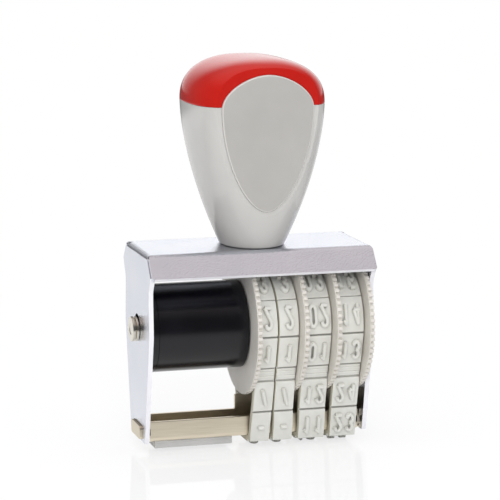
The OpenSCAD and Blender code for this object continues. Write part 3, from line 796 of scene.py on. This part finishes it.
# Pen strokes of the type, in half widths and half heights of a figure
figureStrokes = {
    "0": [arc(0, 0.5, 1, 0.5, 0, 180) + arc(0, -0.5, 1, 0.5, 180, 360) + [(1, 0.5)]],
    "1": [[(0.3, -1), (0.3, 1)], [(0.3, 1), (-0.7, 0.55)]],
    "2": [arc(0, 0.5, 1, 0.5, 170, -20) + [(-1, -1)], [(-1, -1), (1, -1)]],
    "3": [arc(0, 0.51, 0.95, 0.49, 165, -85), arc(0, -0.48, 1, 0.52, 85, -165)],
    "4": [[(0.45, -1), (0.45, 1)], [(0.45, 1), (-1, -0.4)], [(-1, -0.4), (1, -0.4)]],
    "5": [[(0.9, 1), (-0.8, 1)], [(-0.8, 1), (-0.9, 0.05)], arc(0, -0.4, 1, 0.6, 150, -160)],
    "6": [arc(0, -0.42, 1, 0.58, 0, 360), arc(0, 0.3, 1, 0.7, 30, 180) + [(-1, -0.42)]],
    "7": [[(-1, 1), (1, 1)], [(1, 1), (-0.3, -1)]],
    "8": [arc(0, 0.5, 0.88, 0.5, 0, 360), arc(0, -0.47, 1, 0.53, 0, 360)],
    "-": [[(-1, 0), (1, 0)]],
    "/": [[(-0.8, -1), (0.8, 1)]]}
figureStrokes["9"] = [[(-x, -y) for x, y in stroke] for stroke in figureStrokes["6"]]


# Raised type, mirrored so that it prints the right way round, upper side against the path
def figure(s, label):
    startFresh()
    bpy.ops.curve.primitive_bezier_curve_add()
    pen = bpy.context.object
    pen.data.splines.clear()
    halfWidth, halfHeight = (s["figureWidth"] - s["stroke"]) / 2, (s["figureHeight"] - s["stroke"]) / 2
    for i, sign in enumerate(label):
        middle = (i - (len(label) - 1) / 2) * s["figureStep"]
        for stroke in figureStrokes[sign]:
            closed = math.dist(stroke[0], stroke[-1]) < 1e-6
            points = stroke[:-1] if closed else stroke
            line = pen.data.splines.new("POLY")
            line.points.add(len(points) - 1)
            line.use_cyclic_u = closed
            for point, (x, y) in zip(line.points, points):
                point.co = (*(Vector((middle + x * halfWidth, y * halfHeight, 0)) * mm), 1)
    pen.data.twist_mode = "Z_UP"
    pen.data.bevel_depth = s["stroke"] / 2 * mm
    pen.data.bevel_resolution = 2
    pen.data.extrude = (s["relief"] - s["stroke"] / 2) * mm
    pen.data.use_fill_caps = True
    bpy.ops.object.convert(target="MESH")
    word = named("figure")
    word.matrix_world = Matrix(((0, -1, 0, 0), (0, 0, 1, s["faceOut"] * mm), (1, 0, 0, 0), (0, 0, 0, 1)))
    settle(word)
    turnedOut(word)
    return word


def backingLoop(s, path, name, left, right):
    out = s["backOut"]
    strip = sheetPlane(name, (left, -s["cornerY"]), (right, s["cornerY"]), s["barZ"] - out)
    pickEdges(strip, lambda a, b: both(a, b, "y", -s["cornerY"]))
    corner = {"steps": 6, "angle": math.pi - path["turn"], "axis": (1, 0, 0)}
    run = Vector((0, math.cos(path["turn"]), math.sin(path["turn"]))) * path["run"]
    bpy.ops.mesh.spin(center=(0, -s["cornerY"] * mm, s["cornerZ"] * mm), **corner)
    pushOut(run)
    bpy.ops.mesh.spin(steps=64, angle=2 * path["turn"], center=(0, 0, axleHeight * mm), axis=(1, 0, 0))
    pushOut((0, run.y, -run.z))
    bpy.ops.mesh.spin(center=(0, s["cornerY"] * mm, s["cornerZ"] * mm), **corner)
    turnedOut(strip)
    applied(strip, "SOLIDIFY", thickness=s["backThick"] * mm, offset=-1)
    return strip


def joiningStrip(s, length, width):
    half, across = length / 2, width / 2 - s["sideInset"]
    low = s["backOut"] - s["cellSink"]
    strip = block("joiningStrip", (-half, low, -across), (half, s["stripOut"], across))
    # two cross ribs, each a fifth of its length
    rib, ribSide = length / 5, across - s["ribInset"]
    ribs = [block("rib", (x - rib / 2, s["backOut"], -ribSide), (x + rib / 2, s["ribOut"], ribSide))
            for x in (-rib, rib)]
    joined(strip, ribs)
    softened(strip, s["stripEdge"], 2)
    return strip


def makeBand(s, body, unit, labels):
    path = bandPath(s)
    left, right = unit["left"], unit["right"]
    middle, width = (left + right) / 2, right - left
    band = backingLoop(s, path, unit["name"] + "Band", left, right)
    master = cellPad(s, path["pitch"] - s["cellGap"], width)
    parts = []
    for i, label in enumerate(labels):
        along = s["lead"] + i * path["pitch"] + (s["seamLength"] if i >= s["seamCell"] else 0)
        cell = copyOf(master, "cell")
        joined(cell, [figure(s, label)])
        onPath(cell, s, path, along, middle)
        parts.append(cell)
    seam = joiningStrip(s, s["seamLength"] - s["cellGap"], width)
    seamPlace = s["lead"] + (s["seamCell"] - 0.5) * path["pitch"] + s["seamLength"] / 2
    onPath(seam, s, path, seamPlace, middle)
    bpy.data.objects.remove(master)
    joined(band, parts + [seam])
    twoFinishes(band, bandFinish, bandEdge, lambda p, n: (
        abs(n.x) > 0.9 and min(abs(p.x - left), abs(p.x - right)) < 0.1))
    # the slack lower run wanders sideways a little, below the flanges only, so its long faces are cut there
    bpy.ops.object.mode_set(mode="EDIT")
    for z in s["wanderCuts"]:
        sliced((0, 0, z), (0, 0, 1))
    pickVerts(band, lambda p: p.z < s["wanderLevel"])
    bpy.ops.transform.translate(value=(unit["wander"] * mm, 0, 0), use_proportional_edit=True,
                                proportional_edit_falloff="SMOOTH", proportional_size=s["wanderReach"] * mm)
    bpy.ops.object.mode_set(mode="OBJECT")
    finished(band, "stamp", "band_rubber", bandFinish, body + "_band")


dayLabels = ["0", "-", "/"] + [str(i) for i in range(1, 10)]
monthLabels = ["%02d" % ((i + 9) % 12 + 1) for i in range(12)]
yearLabels = [str(13 + (i + 9) % 12) for i in range(12)]
for (body, unit), labels in zip(dateUnits.items(), (dayLabels, dayLabels, monthLabels, yearLabels)):
    makeBand(bandSizes, body, unit, labels)


# Channel bar and text strip

barSizes = {
    "halfLength": 22.0, "halfDepth": 3.75, "low": 2.3, "height": 4.15, "sheet": 0.8, "bend": 1.0,
    "guideFrom": -2.1, "guideTop": 9.4, "tongueRoot": 21.2, "tongueEnd": 23.55, "tongueLow": 3.025,
    "tongueHigh": 5.725, "tongueCorner": 0.7, "edge": 0.12}


def makeBar(s):
    half, deep = s["halfLength"], s["halfDepth"]
    bar = sheetPlane("channelBar", (-half, -deep), (half, deep), s["low"])
    pickEdges(bar, lambda a, b: near(abs(a.y), deep) and near(a.y, b.y))
    pushOut((0, 0, s["height"]))
    pickEdges(bar, lambda a, b: both(a, b, "z", s["low"]) and near(abs(a.y), deep) and near(a.y, b.y))
    bevelled(s["bend"], 5)
    sliced((s["guideFrom"], 0, 0), (1, 0, 0))
    wallTop = s["low"] + s["height"]
    pickEdges(bar, lambda a, b: both(a, b, "y", deep) and both(a, b, "z", wallTop)
              and min(a.x, b.x) > s["guideFrom"] - 0.01)
    pushOut((0, 0, s["guideTop"] - wallTop))
    turnedOut(bar)
    applied(bar, "SOLIDIFY", thickness=s["sheet"] * mm, offset=-1, use_even_offset=True)
    tongues = []
    for side in (-1, 1):
        low, high = sorted((side * s["tongueRoot"], side * s["tongueEnd"]))
        tongue = block("tongue", (low, -deep, s["tongueLow"]), (high, deep, s["tongueHigh"]))
        pickEdges(tongue, lambda a, b: near(a.y, b.y) and near(a.z, b.z))
        bevelled(s["tongueCorner"], 5)
        bpy.ops.object.mode_set(mode="OBJECT")
        tongues.append(tongue)
    joined(bar, tongues)
    softened(bar, s["edge"], 2, 50)
    finished(bar, "stamp", "bar_metal", stripFinish, "bridge_bar")


textSizes = {
    "left": -20.2, "right": -4.3, "halfDepth": 2.8, "low": 0.8, "high": 2.3,
    "line": 0.45, "groove": 0.06, "edge": 0.12}


def makeTextStrip(s):
    deep = s["halfDepth"]
    strip = block("textStrip", (s["left"], -deep, s["low"]), (s["right"], deep, s["high"]))
    # a fine line where the strip is stuck to its backing
    bpy.ops.object.mode_set(mode="EDIT")
    for z in (s["high"] - s["line"], s["high"] - s["line"] - s["groove"]):
        sliced((0, 0, z), (0, 0, 1))
    pickFaces(strip, lambda p, n: abs(n.z) < 0.1 and near(p.z, s["high"] - s["line"] - s["groove"] / 2))
    bpy.ops.mesh.extrude_region_shrink_fatten(TRANSFORM_OT_shrink_fatten={"value": -s["groove"] * mm})
    bpy.ops.object.mode_set(mode="OBJECT")
    softened(strip, s["edge"], 3, 60)
    finished(strip, "stamp", "text_rubber", textFinish, "text_plate")


makeBar(barSizes)
makeTextStrip(textSizes)


# Handle: grip, cap and label plates

gripSizes = {
    "x": 0.55, "base": 41.0, "seam": 69.6, "top": 78.55,
    "baseHalfWidth": 6.35, "baseHalfDepth": 8.0, "halfWidth": 13.55, "halfDepth": 14.0,
    "basePower": 2.0, "seamPower": 3.2, "widthTaper": 1.75, "depthTaper": 2.6, "crown": 2.35, "shoulder": 4.4,
    "gripRings": 10, "capRings": 9, "capArc": 88, "facetSeam": 11.85, "facetTilt": 2.13, "crease": 0.3,
    "seamGap": 0.05, "seamEdge": 0.16, "baseEdge": 0.4}
labelSizes = {
    "half": 9.25, "up": 6.5, "down": 20.4, "drop": 0.4, "proud": 0.4, "thick": 1.0, "gap": 0.05, "edge": 0.3,
    "cutHalf": 1.5, "upHandles": (0.52, 0.44), "downHandles": (0.5, 0.45)}


def handleSection(s, z):  # half width, half depth and squareness of the rounded form
    height = s["seam"] - s["base"]
    if z <= s["seam"]:
        down = (s["seam"] - z) / height
        return (s["halfWidth"] - (s["halfWidth"] - s["baseHalfWidth"]) * down ** s["widthTaper"],
                s["halfDepth"] - (s["halfDepth"] - s["baseHalfDepth"]) * down ** s["depthTaper"],
                s["seamPower"] + (s["basePower"] - s["seamPower"]) * down)
    up = (z - s["seam"]) / (s["top"] - s["seam"])
    return (s["halfWidth"] * (1 - up ** s["crown"]) ** (1 / s["crown"]),
            s["halfDepth"] * (1 - up ** s["shoulder"]) ** (1 / s["shoulder"]), s["seamPower"])


def cagePoints(half, power):  # axis and corner of an eight-point cage whose smooth limit has this half size
    corner = half * (6 * 0.5 ** (1 / power) - 1.5) / 3.5
    return (6 * half - 2 * corner) / 4, corner


def handleForm(s):
    heights = [s["base"] + (s["seam"] - s["base"]) * i / s["gripRings"] for i in range(s["gripRings"] + 1)]
    heights += [s["seam"] + (s["top"] - s["seam"]) * math.sin(math.radians(s["capArc"] * i / s["capRings"]))
                for i in range(1, s["capRings"] + 1)]
    startFresh()
    bpy.ops.mesh.primitive_circle_add(vertices=8, radius=1, location=(0, 0, s["base"] * mm))
    form = named("handleForm")
    settle(form)
    lastZ = s["base"]
    for i, z in enumerate(heights):
        width, depth, power = handleSection(s, z)
        axisX, cornerX = cagePoints(width, power)
        axisY, cornerY = cagePoints(depth, power)
        if i:
            pickVerts(form, lambda p: near(p.z, lastZ))
            pushOut((0, 0, z - lastZ))
        for onCorner, x, y in ((False, axisX, axisY), (True, cornerX, cornerY)):
            pickVerts(form, lambda p: near(p.z, z) and (min(abs(p.x), abs(p.y)) > 1e-3) == onCorner)
            bpy.ops.object.mode_set(mode="OBJECT")
            reachX = max(abs(v.co.x) for v in form.data.vertices if v.select)
            reachY = max(abs(v.co.y) for v in form.data.vertices if v.select)
            bpy.ops.object.mode_set(mode="EDIT")
            bpy.ops.transform.resize(
                value=(x * mm / reachX, y * mm / reachY, 1), center_override=(0, 0, z * mm))
        lastZ = z
    pickVerts(form, lambda p: near(p.z, lastZ))
    bpy.ops.mesh.edge_face_add()
    bpy.ops.object.mode_set(mode="OBJECT")
    turnedOut(form)
    applied(form, "SUBSURF", levels=3, render_levels=3)
    pickVerts(form, lambda p: near(p.z, s["base"]))
    bpy.ops.mesh.edge_face_add()
    pickEdges(form, lambda a, b: both(a, b, "z", s["base"]))
    bevelled(s["baseEdge"], 3)
    bpy.ops.mesh.select_all(action="SELECT")
    bpy.ops.transform.translate(value=(s["x"] * mm, 0, 0))
    # flat facets on the front and back
    lean = math.radians(s["facetTilt"])
    for side in (-1, 1):
        sliced((0, side * s["facetSeam"], s["seam"]), (0, side * math.cos(lean), -math.sin(lean)),
               use_fill=True, clear_outer=True)
    bpy.ops.object.mode_set(mode="OBJECT")
    return form


def onFacet(s, p):  # how far a point stands behind the nearer facet, in mm
    lean = math.radians(s["facetTilt"])
    return (s["facetSeam"] - abs(p.y)) * math.cos(lean) + (p.z - s["seam"]) * math.sin(lean)


def halfOfHandle(s, form, name, keepUpper):
    piece = copyOf(form, name)
    bpy.ops.object.mode_set(mode="EDIT")
    cut = s["seam"] + (s["seamGap"] if keepUpper else -s["seamGap"]) / 2
    sliced((0, 0, cut), (0, 0, 1), use_fill=True, clear_outer=not keepUpper, clear_inner=keepUpper)
    pickEdges(piece, lambda a, b: abs(onFacet(s, a)) < 2e-3 and abs(onFacet(s, b)) < 2e-3
              and not both(a, b, "z", cut))
    bevelled(s["crease"], 3)
    pickEdges(piece, lambda a, b: both(a, b, "z", cut))
    bevelled(s["seamEdge"], 2)
    turnedOut(piece)
    return piece


def eggCurve(s, name, grow, extrude, bevel):
    startFresh()
    bpy.ops.curve.primitive_bezier_circle_add(radius=mm)
    egg = named(name)
    egg.data.dimensions = "2D"
    egg.data.fill_mode = "BOTH"
    egg.data.resolution_u = 24
    half, up, down = s["half"] + grow, s["up"] + grow, s["down"] + grow
    sideUp, topIn = up * s["upHandles"][0], half * s["upHandles"][1]
    sideDown, tipIn = down * s["downHandles"][0], half * s["downHandles"][1]
    corners = (  # left, top, right, lower tip: point, handle before, handle after
        ((-half, 0), (-half, -sideDown), (-half, sideUp)),
        ((0, up), (-topIn, up), (topIn, up)),
        ((half, 0), (half, sideUp), (half, -sideDown)),
        ((0, -down), (tipIn, -down), (-tipIn, -down)))
    for point, (place, before, after) in zip(egg.data.splines[0].bezier_points, corners):
        point.handle_left_type = point.handle_right_type = "FREE"
        point.co = Vector((*place, 0)) * mm
        point.handle_left = Vector((*before, 0)) * mm
        point.handle_right = Vector((*after, 0)) * mm
    egg.data.extrude = extrude * mm
    egg.data.bevel_depth = bevel * mm
    egg.data.bevel_resolution = 3
    egg.data.offset = -bevel * mm
    bpy.ops.object.convert(target="MESH")
    return named(name)


def ontoFacet(piece, grip, label, side, out):  # from its drawing plane to the front or back facet
    lean = math.radians(grip["facetTilt"])
    along = Vector((0, side * math.sin(lean), math.cos(lean)))
    outward = Vector((0, side * math.cos(lean), -math.sin(lean)))
    axes = Matrix((Vector((-side, 0, 0)), along, outward)).transposed().to_4x4()
    seam = Vector((grip["x"], side * grip["facetSeam"], grip["seam"]))
    place = seam - along * label["drop"] + outward * out
    piece.matrix_world = Matrix.Translation(place * mm) @ axes
    settle(piece)
    turnedOut(piece)


def makeHandle(grip, label):
    form = handleForm(grip)
    halves = [halfOfHandle(grip, form, "gripBody", False), halfOfHandle(grip, form, "capBody", True)]
    bpy.data.objects.remove(form)
    floorOut = label["proud"] - label["thick"]
    for side in (-1, 1):
        for half in halves:
            pocket = eggCurve(label, "pocket", label["gap"], label["cutHalf"], 0)
            ontoFacet(pocket, grip, label, side, floorOut + label["cutHalf"])
            combined(half, pocket, "DIFFERENCE")
    combined(halves[0], screwHole(frameSizes["screwHole"]), "DIFFERENCE")
    finished(halves[0], "stamp", "grip_plastic", gripFinish, "handle_grip", angle=30)
    finished(halves[1], "stamp", "cap_plastic", capFinish, "handle_cap", angle=30)
    for side, name, node in ((-1, "frontLabel", "front_label"), (1, "rearLabel", "rear_label")):
        plate = eggCurve(label, name, 0, label["thick"] / 2 - label["edge"], label["edge"])
        ontoFacet(plate, grip, label, side, floorOut + label["thick"] / 2)
        finished(plate, "stamp", "label_plastic", labelFinish, node)


makeHandle(gripSizes, labelSizes)

screw = frame["nodes"]["handle_screw"]
screw.data.materials.clear()
screw.data.materials.append(pinFinish)
